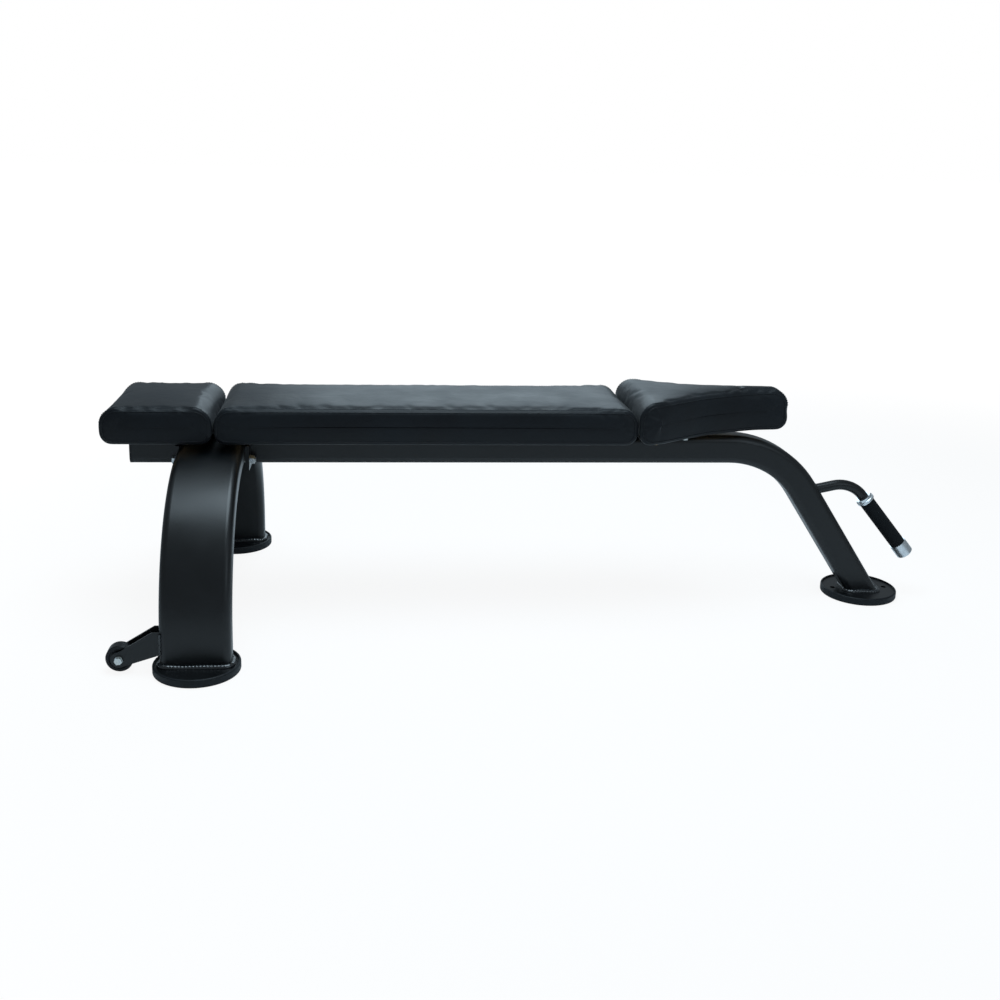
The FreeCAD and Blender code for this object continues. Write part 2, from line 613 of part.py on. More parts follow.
def ends_of(length, height, top):
    """Picks the edges that run across a pad at its two ends, at its top or its bottom."""
    level = height if top else 0

    def wanted(edge):
        bounds = edge.BoundBox
        at_end = min(abs(bounds.Center.x), abs(bounds.Center.x - length)) < TOUCH
        return (at_end and bounds.YLength > TOUCH and bounds.ZLength < TOUCH
                and abs(bounds.Center.z - level) < TOUCH)
    return wanted


def pad_fittings(name, bars, bolt_y, seat):
    """Bolts, washers and tee nuts at both ends of every bar, in the pad's own frame."""
    fittings = {"bolts": [], "washers": [], "tee_nuts": []}
    drills = []
    for x in bars:
        for side in ("-1", "1"):
            spot = {"x": x, "y": "%s * %s" % (side, bolt_y)}
            fittings["bolts"].append(bolt(
                name + "_bolt", "small_bolt", "small_head", "small_head_high",
                "washer_thick + bar_thick + board_thick - bolt_short", z="-bar_thick - washer_thick", **spot))
            fittings["washers"].append(ring(
                name + "_washer", "small_bolt + bolt_play", "small_washer", "washer_thick",
                z="-bar_thick - washer_thick", **spot))
            barrel_end = "board_thick - tee_high"
            tee = turned(name + "_tee", [
                ("small_bolt + thread_gap", barrel_end), ("tee_barrel", barrel_end),
                ("tee_barrel", "board_thick - tee_flange_thick"),
                ("tee_flange", "board_thick - tee_flange_thick"), ("tee_flange", "board_thick"),
                ("small_bolt + thread_gap", "board_thick")])
            fittings["tee_nuts"].append(place(tee, **spot))
            drills.append(cylinder(name + "_bar_drill", "small_bolt + bolt_play", "3 * bar_thick",
                                   z="-2 * bar_thick", **spot))
            seat.append(cylinder(name + "_tee_drill", "tee_barrel + thread_gap", "board_thick", **spot))
            seat.append(cylinder(name + "_tee_seat", "tee_flange + thread_gap", "board_thick",
                                 z="board_thick - tee_flange_thick", **spot))
    return fittings, drills


def pad_set(name, start, shell, pocket, board, bars, bolt_y, bar_length, tilt=None):
    """Puts one pad's pieces, made with its end at X 0 and its underside at Z 0, on the beam."""
    board_drills = []
    fittings, bar_drills = pad_fittings(name, bars, bolt_y, board_drills)
    flats = [box(name + "_bar", "bar_width", bar_length, "bar_thick",
                 x=x + " - bar_width / 2", y="-%s / 2" % bar_length, z="-bar_thick") for x in bars]
    drilled = [cut(name + "_bar_drilled", flat, bar_drills) for flat in flats]
    made = {
        "cushion": cut(name + "_cushion_cut", shell, [pocket]),
        "board": cut(name + "_board_cut", board, board_drills),
        "bars": group(name + "_bar_group", drilled),
        "bolts": group(name + "_bolt_group", fittings["bolts"]),
        "washers": group(name + "_washer_group", fittings["washers"]),
        "tee_nuts": group(name + "_tee_group", fittings["tee_nuts"])}
    for kind, thing in made.items():
        if tilt is None:
            place(thing, x=start, z=PAD_BOTTOM)
        else:
            lean(thing, Vector(0, -1, 0), tilt, x=start, z=PAD_BOTTOM)
        keep("%s_pad_%s" % (name, kind), thing)


def square_pad(name, start, length, bars):
    """A pad with parallel sides and round ends."""
    shell = doc.addObject("PartDesign::Body", name + "_shell")
    block = shell.newObject("PartDesign::AdditiveBox", name + "_block")
    bind(block, Length=length, Width="pad_width", Height="pad_thick")
    block.setExpression("Placement.Base.y", formula("-pad_width / 2"))
    long_side = SIZE[length]
    round_edges(shell, name + "_top_round", "pad_round", ends_of(long_side, SIZE["pad_thick"], True))
    round_edges(shell, name + "_low_round", "pad_under", ends_of(long_side, SIZE["pad_thick"], False))
    edge = "pad_under + board_inset"
    pocket = box(name + "_pocket", "%s - 2 * (%s) + 2 * board_fit" % (length, edge),
                 "pad_width - 2 * board_inset + 2 * board_fit", "board_thick + board_fit",
                 x=edge + " - board_fit", y="-pad_width / 2 + board_inset - board_fit")
    board = box(name + "_board", "%s - 2 * (%s)" % (length, edge), "pad_width - 2 * board_inset",
                "board_thick", x=edge, y="-pad_width / 2 + board_inset")
    pad_set(name, start, shell, pocket, board, bars, "pad_bolt_y", "bar_length")


square_pad("head", HEAD_START, "head_length", ["head_bar_in", "(head_bar_in + head_bar_gap)"])
square_pad("back", BACK_START, "back_length",
           ["back_bar_in", "back_length / 2", "(back_length - back_bar_in)"])


def seat_outline(inset, ends):
    """The seat's plan: a wide end that narrows to a nose, drawn in from its edge."""
    half, nose = "seat_half - %s" % inset, "nose_half - %s" % inset
    side = [(ends, half), ("seat_shoulder", half), ("seat_middle", "middle_half - %s" % inset),
            ("seat_waist", nose), ("seat_length - (%s)" % ends, nose)]
    return [(x, "-(%s)" % y) for x, y in side] + [(x, y) for x, y in reversed(side)]


seat_shell = plate("seat_shell", "XY_Plane", seat_outline("0", "0"), "seat_thick")


def upright_at(x):
    return lambda edge: edge.BoundBox.ZLength > TOUCH and abs(edge.BoundBox.Center.x - x) < TOUCH


for corner, radius in (("seat_shoulder", "shoulder_round"), ("seat_middle", "waist_round"),
                       ("seat_waist", "waist_round")):
    round_edges(seat_shell, corner + "_edges", radius, upright_at(SIZE[corner]))
round_edges(seat_shell, "seat_top_round", "pad_round", ends_of(SIZE["seat_length"], SIZE["seat_thick"], True))
round_edges(seat_shell, "seat_low_round", "pad_under", ends_of(SIZE["seat_length"], SIZE["seat_thick"], False))
seat_edge = "pad_under + board_inset"
seat_pocket = plate("seat_pocket", "XY_Plane", seat_outline("(board_inset - board_fit)",
                                                          seat_edge + " - board_fit"),
                    "board_thick + board_fit")
seat_board = plate("seat_board_plan", "XY_Plane", seat_outline("board_inset", seat_edge), "board_thick")
pad_set("seat", SEAT_START, seat_shell, seat_pocket, seat_board,
        ["seat_bar_in", "(seat_bar_in + seat_bar_gap)"], SEAT_BOLT_Y, SEAT_BAR_LENGTH, "seat_tilt")

wedge_low = "seat_bar_in - bar_width / 2"
wedge_high = "seat_bar_in + seat_bar_gap + bar_width / 2"


def wedge_corner(along):
    """A corner of the wedge's top, which lies on the underside of the tilted bars."""
    return ("%s + (%s) * cos(seat_tilt) + bar_thick * sin(seat_tilt)" % (SEAT_START, along),
            "%s + (%s) * sin(seat_tilt) - bar_thick * cos(seat_tilt)" % (PAD_BOTTOM, along))


wedge_tops = [wedge_corner(wedge_high), wedge_corner(wedge_low)]
wedge = plate("wedge_body", "XZ_Plane", [(wedge_tops[1][0], BEAM_TOP), (wedge_tops[0][0], BEAM_TOP)]
              + wedge_tops, "beam_side - 2 * beam_corner", True)
keep("seat_wedge", wedge)

# ---- lifting handle: bent round tube on the outside of the slanted leg, with a grip


def handle_path(name):
    """A rising line, an arc over the top and a straight line down along the grip."""
    rise, tilt = math.radians(SIZE["handle_rise"]), math.radians(SIZE["grip_tilt"])
    radius = SIZE["handle_bend"]
    root = SIZE["handle_root"] + SIZE["beam_side"] / 2
    length = SIZE["grip_lead"] + SIZE["collar_length"] + SIZE["grip_length"] + SIZE["tip_length"]
    start = Vector(-SIZE["beam_side"], SIZE["handle_up"], 0)
    top = start + Vector(math.cos(rise), math.sin(rise), 0) * root
    centre = top + Vector(math.sin(rise), -math.cos(rise), 0) * radius
    low = centre + Vector(math.cos(tilt), math.sin(tilt), 0) * radius
    end = low + Vector(math.sin(tilt), -math.cos(tilt), 0) * length
    sketch = doc.addObject("Sketcher::SketchObject", name)
    sketch.addGeometry(Part.LineSegment(start, top), False)
    arc = Part.ArcOfCircle(Part.Circle(centre, Vector(0, 0, 1), radius), tilt, math.pi / 2 + rise)
    sketch.addGeometry(arc, False)
    sketch.addGeometry(Part.LineSegment(low, end), False)
    sketch.addConstraint(Sketcher.Constraint("Tangent", 0, 2, 1, 2))
    sketch.addConstraint(Sketcher.Constraint("Tangent", 1, 1, 2, 1))
    bound = [(Sketcher.Constraint("DistanceX", -1, 1, 0, 1, start.x), HANDLE_X),
             (Sketcher.Constraint("DistanceY", -1, 1, 0, 1, start.y), HANDLE_Z),
             (Sketcher.Constraint("Angle", 0, rise), "handle_rise"),
             (Sketcher.Constraint("Distance", 0, root), "handle_root + beam_side / 2"),
             (Sketcher.Constraint("Radius", 1, radius), "handle_bend"),
             (Sketcher.Constraint("Angle", 2, tilt - math.pi / 2), "grip_tilt - 90"),
             (Sketcher.Constraint("Distance", 2, length), HANDLE_END)]
    for constraint, text in bound:
        index = sketch.addConstraint(constraint)
        sketch.setExpression("Constraints[%d]" % index, formula(text))
    sketch.Placement = Placement(Vector(), SIDE_VIEW)
    return sketch


# the root starts half a beam inside the leg's outer face, along its own direction
HANDLE_X = ("(-(handle_up - %s) * tan(leg_tilt) + beam_side / 2 / cos(leg_tilt)"
            " - beam_side / 2 * cos(handle_rise))" % FOOT_TOP)
HANDLE_Z = "(handle_up - beam_side / 2 * sin(handle_rise))"
HANDLE_END = "(grip_lead + collar_length + grip_length + tip_length - tip_wall)"
route = handle_path("handle_path")
handle_skins = []
for name, radius in (("outer", "handle_tube"), ("inner", "handle_tube - handle_wall")):
    section = doc.addObject("Sketcher::SketchObject", "handle_" + name + "_section")
    section.addGeometry(Part.Circle(Vector(), Vector(0, 0, 1), 10), False)
    section.addConstraint(Sketcher.Constraint("Coincident", 0, 3, -1, 1))
    index = section.addConstraint(Sketcher.Constraint("Radius", 0, 10))
    section.setExpression("Constraints[%d]" % index, formula(radius))
    lean(section, Vector(0, 1, 0), "90 - handle_rise", x=HANDLE_X, z=HANDLE_Z)
    handle_skins.append(sweep("handle_" + name, section, route))
keep("handle_tube", cut("handle_pipe", handle_skins[0], [handle_skins[1], beam_outer]))

# the grip's line: from the end of the bend, downwards
GRIP_X = ("(%s + (handle_root + beam_side / 2) * cos(handle_rise) + handle_bend * sin(handle_rise)"
          " + handle_bend * cos(grip_tilt))" % HANDLE_X)
GRIP_Z = ("(%s + (handle_root + beam_side / 2) * sin(handle_rise) - handle_bend * cos(handle_rise)"
          " + handle_bend * sin(grip_tilt))" % HANDLE_Z)


def on_grip(thing, along):
    """Turns a piece's Z axis down the grip's line and puts it a distance along that line."""
    return lean(thing, Vector(0, 1, 0), "180 - grip_tilt",
                x="%s + (%s) * sin(grip_tilt)" % (GRIP_X, along),
                z="%s - (%s) * cos(grip_tilt)" % (GRIP_Z, along))


bore = "handle_tube + sleeve_fit"
collar = turned("collar_body", [
    (bore, 0), ("collar_radius - collar_step", 0), ("collar_radius - collar_step", "collar_length / 2"),
    ("collar_radius", "(collar_length + collar_step) / 2"), ("collar_radius", "collar_length"),
    (bore, "collar_length")])
keep("handle_collar", on_grip(collar, "grip_lead"))
sleeve = ring("grip_body", bore, "grip_radius", "grip_length")
keep("handle_grip", on_grip(sleeve, "grip_lead + collar_length"))
tip = turned("tip_body", [
    (bore, 0), ("tip_radius", 0), ("tip_radius", "tip_length - tip_bevel"),
    ("tip_radius - tip_bevel", "tip_length"),
    (0, "tip_length"), (0, "tip_length - tip_wall"), (bore, "tip_length - tip_wall")])
keep("handle_end_cap", on_grip(tip, "grip_lead + collar_length + grip_length"))

# ---- check every object and write every piece

doc.recompute()
for thing in doc.Objects:
    if "Invalid" in thing.State or "Error" in thing.State:
        raise RuntimeError("%s is %s" % (thing.Name, thing.State))
os.makedirs("parts", exist_ok=True)
for piece in pieces:
    shape = piece.Shape
    if shape.isNull() or not shape.isValid() or not shape.Solids:
        raise RuntimeError(piece.Label + " has no valid solid")
for piece in pieces:
    piece.Shape.exportStep("parts/%s.step" % piece.Label)
    bounds = piece.Shape.BoundBox
    print("%-22s %2d solids %9.1f cm3  x %.0f..%.0f  y %.0f..%.0f  z %.0f..%.0f" % (
        piece.Label, len(piece.Shape.Solids), piece.Shape.Volume / 1000, bounds.XMin, bounds.XMax,
        bounds.YMin, bounds.YMax, bounds.ZMin, bounds.ZMax))
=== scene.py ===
import json
import math

import bpy
import numpy as np
from mathutils import Matrix, Vector


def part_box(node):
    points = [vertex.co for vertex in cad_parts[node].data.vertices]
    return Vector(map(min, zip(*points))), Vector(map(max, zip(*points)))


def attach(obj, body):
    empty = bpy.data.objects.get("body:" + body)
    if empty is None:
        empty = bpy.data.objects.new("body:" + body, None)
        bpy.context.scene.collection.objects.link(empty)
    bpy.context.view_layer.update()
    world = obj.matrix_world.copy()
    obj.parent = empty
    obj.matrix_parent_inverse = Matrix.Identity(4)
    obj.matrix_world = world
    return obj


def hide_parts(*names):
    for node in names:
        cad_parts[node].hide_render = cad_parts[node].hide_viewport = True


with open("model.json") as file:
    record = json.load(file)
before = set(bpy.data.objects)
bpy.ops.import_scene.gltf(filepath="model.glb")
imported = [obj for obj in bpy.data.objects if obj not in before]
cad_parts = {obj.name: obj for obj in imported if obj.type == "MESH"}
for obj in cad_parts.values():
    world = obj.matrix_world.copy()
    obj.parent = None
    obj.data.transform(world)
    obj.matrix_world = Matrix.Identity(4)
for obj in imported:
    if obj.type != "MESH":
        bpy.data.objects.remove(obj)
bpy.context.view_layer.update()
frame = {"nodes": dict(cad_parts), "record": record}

# ---- driving sizes, in metres, and angles, in degrees

CORNER_ROUND = 0.007      # cover to side panel, over the seam
CROWN = 0.0045            # rise of a pad's middle over its seams
SIDE_BULGE = 0.003        # swell of a side panel between its seams
END_TOP_ROUND = 0.034     # pad end, upper rounding
END_LOW_ROUND = 0.022     # pad end, lower rounding
SWELL_CAP = 0.002         # how far the cloth may carry a point of a cover
MESH_STEP = 0.006         # spacing of the pads' grid
TURN_ROWS = 4             # rows of that grid in the quarter turn over a seam
PINCH = 0.0004            # between the two rows at a sharp edge
BOARD_DEEP = 0.0125       # recess for the plywood under a pad
BOARD_EDGE = 0.0086       # pad edge to the edge of that recess
SEAT_LENGTH = 0.338
SEAT_THICK = 0.086
SEAT_TILT = 1.5
SEAT_SIDES = ((0.0, 0.127), (0.036, 0.127), (0.150, 0.058), (0.260, 0.022), (0.338, 0.022))
SEAT_EASE = 0.045         # length over which the seat's sides turn from one line to the next
WELT = 0.0012             # radius of the sewn welt
STITCH_PITCH = 0.0052
STITCH_LONG = 0.0036
STITCH_THICK = 0.00035
BEAD = 0.0062             # weld bead round a leg on its foot plate
THIN_BEAD = 0.0028        # weld bead of the handle and the forks
RIPPLE = 0.0065           # step between two ripples of a weld bead
BEAM_SIDE = 0.060
BEAM_CORNER = 0.014
LEG_TILT = 33.7
ARCH_WIDTH = 0.130
ARCH_DEPTH = 0.045
ARCH_CORNER = 0.014
HANDLE_UP = 0.240
HANDLE_RISE = 12
HANDLE_TUBE = 0.011
GRIP_TILT = 40


def linear(code):
    """The linear colour of an sRGB hex code."""
    parts = [int(code[k:k + 2], 16) / 255 for k in (1, 3, 5)]
    return [v / 12.92 if v <= 0.04045 else ((v + 0.055) / 1.055) ** 2.4 for v in parts] + [1.0]


# ---- materials

def add(tree, kind, inputs=None, **settings):
    """Adds a node, sets its properties, and sets or links its inputs."""
    made = tree.nodes.new(kind)
    for name, value in settings.items():
        setattr(made, name, value)
    for name, value in (inputs or {}).items():
        if isinstance(value, bpy.types.NodeSocket):
            tree.links.new(value, made.inputs[name])
        else:
            made.inputs[name].default_value = value
    return made


def ramp(tree, factor, stops):
    """A colour ramp with (place, colour) stops."""
    made = add(tree, "ShaderNodeValToRGB", {"Fac": factor})
    bar = made.color_ramp.elements
    while len(bar) < len(stops):
        bar.new(0.5)
    for element, (spot, colour) in zip(bar, stops):
        element.position = spot
        element.color = colour
    return made.outputs["Color"]


def grey(value):
    return (value, value, value, 1.0)


def finish_of(name, **sockets):
    """An empty principled material: (material, tree, shader, Object coordinates)."""
    material = bpy.data.materials.new(name)
    material.use_nodes = True
    tree = material.node_tree
    tree.nodes.clear()
    shader = add(tree, "ShaderNodeBsdfPrincipled", sockets)
    output = add(tree, "ShaderNodeOutputMaterial", {"Surface": shader.outputs["BSDF"]})
    output.is_active_output = True
    place = add(tree, "ShaderNodeTexCoord").outputs["Object"]
    return material, tree, shader, place


def per_metre(millimetres):
    """The scale of a texture whose cells measure this many millimetres."""
    return 1000.0 / millimetres


def leathercloth():
    """Expanded vinyl on a knitted back: embossed grain of about 1.6 mm, a satin face that catches
    the light in soft patches, and slow unevenness from the foam below."""
    material, tree, shader, place = finish_of("leathercloth_black", **{"IOR": 1.5,
                                              "Specular IOR Level": 0.2, "Sheen Weight": 0.05,
                                              "Sheen Roughness": 0.45})
    grain = add(tree, "ShaderNodeTexVoronoi", {"Vector": place, "Scale": per_metre(1.6)},
                feature="SMOOTH_F1")
    fine = add(tree, "ShaderNodeTexNoise", {"Vector": place, "Scale": per_metre(0.9), "Detail": 3.0})
    patches = add(tree, "ShaderNodeTexNoise", {"Vector": place, "Scale": per_metre(70), "Detail": 3.0})
    creases = add(tree, "ShaderNodeTexNoise", {"Vector": place, "Scale": per_metre(24), "Detail": 2.0,
                                               "Distortion": 0.6})
    tree.links.new(ramp(tree, patches.outputs["Fac"], [(0.3, linear("#0a0d11")), (0.7, linear("#0f1419"))]),
                   shader.inputs["Base Color"])
    tree.links.new(ramp(tree, patches.outputs["Fac"], [(0.3, grey(0.40)), (0.7, grey(0.50))]),
                   shader.inputs["Roughness"])
    slow = add(tree, "ShaderNodeBump", {"Height": creases.outputs["Fac"], "Strength": 0.35,
                                        "Distance": 0.0015})
    small = add(tree, "ShaderNodeBump", {"Height": grain.outputs["Distance"], "Strength": 0.22,
                                         "Distance": 0.0004, "Normal": slow.outputs["Normal"]})
    top = add(tree, "ShaderNodeBump", {"Height": fine.outputs["Fac"], "Strength": 0.12,
                                       "Distance": 0.0002, "Normal": small.outputs["Normal"]})
    tree.links.new(top.outputs["Normal"], shader.inputs["Normal"])
    return material


def powder_coat():
    """Polyester powder coat, satin black: an orange peel of about 2 mm and a low, wide gloss."""
    material, tree, shader, place = finish_of("powder_coat_satin_black", **{"Specular IOR Level": 0.4,
                                              "Coat Weight": 0.06, "Coat Roughness": 0.25})
    peel = add(tree, "ShaderNodeTexNoise", {"Vector": place, "Scale": per_metre(2.2), "Detail": 2.0})
    haze = add(tree, "ShaderNodeTexNoise", {"Vector": place, "Scale": per_metre(90), "Detail": 3.0})
    tree.links.new(ramp(tree, haze.outputs["Fac"], [(0.3, linear("#030507")), (0.7, linear("#06080b"))]),
                   shader.inputs["Base Color"])
    tree.links.new(ramp(tree, haze.outputs["Fac"], [(0.3, grey(0.33)), (0.7, grey(0.41))]),
                   shader.inputs["Roughness"])
    bump = add(tree, "ShaderNodeBump", {"Height": peel.outputs["Fac"], "Strength": 0.10,
                                        "Distance": 0.0003})
    tree.links.new(bump.outputs["Normal"], shader.inputs["Normal"])
    return material


def painted_weld():
    """Satin black powder coat over a weld bead: thicker, smoother and glossier than on the tube. Its base colour
    is painted lighter than the tube's and lightest on the raised lumps, a painted highlight.
    """
    material, tree, shader, place = finish_of("powder_coat_on_weld", **{"Specular IOR Level": 0.5,
                                              "Coat Weight": 0.5, "Coat Roughness": 0.12})
    lumps_and_painted_highlight = add(tree, "ShaderNodeTexNoise", {"Vector": place, "Scale": per_metre(5), "Detail": 3.0})
    # painted highlight: base colour lighter than the tube's coat, and lighter still where the lumps stand highest
    tree.links.new(ramp(tree, lumps_and_painted_highlight.outputs["Fac"], [(0.3, linear("#090c10")), (0.7, linear("#12171c"))]),
                   shader.inputs["Base Color"])
    tree.links.new(ramp(tree, lumps_and_painted_highlight.outputs["Fac"], [(0.3, grey(0.22)), (0.7, grey(0.36))]),
                   shader.inputs["Roughness"])
    bump = add(tree, "ShaderNodeBump", {"Height": lumps_and_painted_highlight.outputs["Fac"], "Strength": 0.4, "Distance": 0.001})
    tree.links.new(bump.outputs["Normal"], shader.inputs["Normal"])
    return material


def moulded_rubber():
    """Moulded rubber boot: matt, faintly mottled where the mould release dried."""
    material, tree, shader, place = finish_of("moulded_rubber_black", **{"Specular IOR Level": 0.25})
    mottle = add(tree, "ShaderNodeTexNoise", {"Vector": place, "Scale": per_metre(12), "Detail": 5.0})
    pit = add(tree, "ShaderNodeTexNoise", {"Vector": place, "Scale": per_metre(1.5), "Detail": 2.0})
    tree.links.new(ramp(tree, mottle.outputs["Fac"], [(0.35, linear("#0a0d11")), (0.7, linear("#10151a"))]),
                   shader.inputs["Base Color"])
    tree.links.new(ramp(tree, mottle.outputs["Fac"], [(0.3, grey(0.46)), (0.7, grey(0.60))]),
                   shader.inputs["Roughness"])
    bump = add(tree, "ShaderNodeBump", {"Height": pit.outputs["Fac"], "Strength": 0.15, "Distance": 0.0003})
    tree.links.new(bump.outputs["Normal"], shader.inputs["Normal"])
    return material


def foam_rubber():
    """Nitrile foam grip: dead matt, with an open skin of about 1 mm cells."""
    material, tree, shader, place = finish_of("nitrile_foam_black", **{"Specular IOR Level": 0.2})
    cells = add(tree, "ShaderNodeTexVoronoi", {"Vector": place, "Scale": per_metre(1.1)})
    tone = add(tree, "ShaderNodeTexNoise", {"Vector": place, "Scale": per_metre(6), "Detail": 3.0})
    tree.links.new(ramp(tree, tone.outputs["Fac"], [(0.3, linear("#080a0d")), (0.7, linear("#0d1115"))]),
                   shader.inputs["Base Color"])
    tree.links.new(ramp(tree, tone.outputs["Fac"], [(0.3, grey(0.72)), (0.7, grey(0.85))]),
                   shader.inputs["Roughness"])
    bump = add(tree, "ShaderNodeBump", {"Height": cells.outputs["Distance"], "Strength": 0.3,
                                        "Distance": 0.0004})
    tree.links.new(bump.outputs["Normal"], shader.inputs["Normal"])
    return material


def moulded_plastic(name, dark, light, low, high):
    """Injection-moulded plastic: an even fine texture and a small change of gloss where it flowed."""
    material, tree, shader, place = finish_of(name, **{"Specular IOR Level": 0.3})
    flow = add(tree, "ShaderNodeTexNoise", {"Vector": place, "Scale": per_metre(20), "Detail": 3.0})
    spark = add(tree, "ShaderNodeTexNoise", {"Vector": place, "Scale": per_metre(0.8), "Detail": 1.0})
    tree.links.new(ramp(tree, flow.outputs["Fac"], [(0.3, linear(dark)), (0.7, linear(light))]),
                   shader.inputs["Base Color"])
    tree.links.new(ramp(tree, flow.outputs["Fac"], [(0.3, grey(low)), (0.7, grey(high))]),
                   shader.inputs["Roughness"])
    bump = add(tree, "ShaderNodeBump", {"Height": spark.outputs["Fac"], "Strength": 0.12,
                                        "Distance": 0.0002})
    tree.links.new(bump.outputs["Normal"], shader.inputs["Normal"])
    return material


def turned_aluminium():
    """Turned aluminium, clear anodised: fine tool rings round the axis spread the gloss."""
    material, tree, shader, place = finish_of("turned_aluminium", **{"Metallic": 1.0, "Anisotropic": 0.5})
    turn = math.radians(180 - GRIP_TILT)
    along = add(tree, "ShaderNodeMapping", {"Vector": place, "Rotation": (0.0, -turn, 0.0)})
    rings = add(tree, "ShaderNodeTexWave", {"Vector": along.outputs["Vector"], "Scale": per_metre(6),
                                            "Distortion": 0.4, "Detail": 2.0}, bands_direction="Z")
    blotch = add(tree, "ShaderNodeTexNoise", {"Vector": place, "Scale": per_metre(9), "Detail": 3.0})
    tree.links.new(ramp(tree, blotch.outputs["Fac"], [(0.3, linear("#c9ced3")), (0.7, linear("#dfe3e6"))]),
                   shader.inputs["Base Color"])
    tree.links.new(ramp(tree, rings.outputs["Fac"], [(0.0, grey(0.24)), (1.0, grey(0.34))]),
                   shader.inputs["Roughness"])
    bump = add(tree, "ShaderNodeBump", {"Height": rings.outputs["Fac"], "Strength": 0.08,
                                        "Distance": 0.0002})
    tree.links.new(bump.outputs["Normal"], shader.inputs["Normal"])
    return material


def zinc_plate():
    """Bright zinc on steel: bluish, with a faint straw cast from the passivation."""
    material, tree, shader, place = finish_of("zinc_plate_bright", Metallic=1.0)
    cast = add(tree, "ShaderNodeTexNoise", {"Vector": place, "Scale": per_metre(7), "Detail": 4.0})
    tree.links.new(ramp(tree, cast.outputs["Fac"], [(0.35, linear("#b9c0c8")), (0.55, linear("#cfd0cb")),
                                                   (0.7, linear("#c3cbd2"))]), shader.inputs["Base Color"])
    tree.links.new(ramp(tree, cast.outputs["Fac"], [(0.3, grey(0.22)), (0.7, grey(0.36))]),
                   shader.inputs["Roughness"])
    return material


def birch_plywood():
    """Raw birch plywood: long soft figure along the sheet and 1.5 mm plies on its edges."""
    material, tree, shader, place = finish_of("birch_plywood", **{"Specular IOR Level": 0.3})
    stretch = add(tree, "ShaderNodeMapping", {"Vector": place, "Scale": (1.0, 8.0, 8.0)})
    figure = add(tree, "ShaderNodeTexNoise", {"Vector": stretch.outputs["Vector"], "Scale": per_metre(60),
                                              "Detail": 6.0, "Distortion": 0.8})
    plies = add(tree, "ShaderNodeTexWave", {"Vector": place, "Scale": per_metre(19), "Distortion": 0.3},
                bands_direction="Z")
    wood = ramp(tree, figure.outputs["Fac"], [(0.3, linear("#a98458")), (0.7, linear("#d0b184"))])
    layer = ramp(tree, plies.outputs["Fac"], [(0.2, linear("#b9976a")), (0.8, linear("#ffffff"))])
    tone = add(tree, "ShaderNodeMix", {"Factor": 0.35, "A": wood, "B": layer}, data_type="RGBA",
               blend_type="MULTIPLY")
    tree.links.new(tone.outputs["Result"], shader.inputs["Base Color"])
    tree.links.new(ramp(tree, figure.outputs["Fac"], [(0.3, grey(0.62)), (0.7, grey(0.75))]),
                   shader.inputs["Roughness"])
    bump = add(tree, "ShaderNodeBump", {"Height": figure.outputs["Fac"], "Strength": 0.15,
                                        "Distance": 0.0004})
    tree.links.new(bump.outputs["Normal"], shader.inputs["Normal"])
    return material


def bonded_thread():
    """Bonded polyester thread, black: a slight lustre on each twisted stitch."""
    material, tree, shader, place = finish_of("bonded_thread_black", **{"Sheen Weight": 0.3,
                                              "Sheen Roughness": 0.4})
    twist = add(tree, "ShaderNodeTexNoise", {"Vector": place, "Scale": per_metre(0.6), "Detail": 2.0})
    tree.links.new(ramp(tree, twist.outputs["Fac"], [(0.3, linear("#14181c")), (0.7, linear("#262c32"))]),
                   shader.inputs["Base Color"])
    tree.links.new(ramp(tree, twist.outputs["Fac"], [(0.3, grey(0.5)), (0.7, grey(0.65))]),
                   shader.inputs["Roughness"])
    return material


VINYL = leathercloth()
COAT = powder_coat()
WELD = painted_weld()
BOOT = moulded_rubber()
GRIP = foam_rubber()
NYLON = moulded_plastic("moulded_nylon_black", "#06080b", "#0b0e12", 0.36, 0.48)
CAP = moulded_plastic("moulded_polypropylene_black", "#0f1215", "#14181b", 0.42, 0.55)
ACETAL = moulded_plastic("moulded_acetal_white", "#d9d7cf", "#e6e4dc", 0.3, 0.4)
ALUMINIUM = turned_aluminium()
ZINC = zinc_plate()
PLYWOOD = birch_plywood()
THREAD = bonded_thread()

BY_SLOT = {"vinyl": VINYL, "frame_coat": COAT, "boot_rubber": BOOT, "grip_rubber": GRIP,
           "wheel_nylon": NYLON, "bush_plastic": ACETAL, "cap_plastic": CAP, "aluminium": ALUMINIUM,
           "zinc": ZINC, "plywood": PLYWOOD}


def dress(thing, material):
    thing.data.materials.clear()
    thing.data.materials.append(material)


for part in frame["record"]["subparts"]:
    dress(frame["nodes"][part["node"]], BY_SLOT[part["material_slot"]])


# ---- meshes

def mesh_object(name, points, faces, body="frame", material=None, smooth=True):
    """A mesh object at the origin that rides on a body."""
    mesh = bpy.data.meshes.new(name)
    mesh.from_pydata([tuple(p) for p in points], [], [tuple(int(k) for k in f) for f in faces])
    mesh.validate()
    mesh.polygons.foreach_set("use_smooth", [smooth] * len(mesh.polygons))
    thing = bpy.data.objects.new(name, mesh)
    bpy.context.scene.collection.objects.link(thing)
    if material is not None:
        mesh.materials.append(material)
    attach(thing, body)
    return thing


def grid_faces(rows, columns, closed_rows=False, closed_columns=True):
    """Quads of a grid whose points run along the columns first."""
    down = np.arange(rows if closed_rows else rows - 1)
    over = np.arange(columns if closed_columns else columns - 1)
    r, c = np.meshgrid(down, over, indexing="ij")
    r1, c1 = (r + 1) % rows, (c + 1) % columns
    quads = np.stack([r * columns + c, r * columns + c1, r1 * columns + c1, r1 * columns + c], -1)
    return quads.reshape(-1, 4)


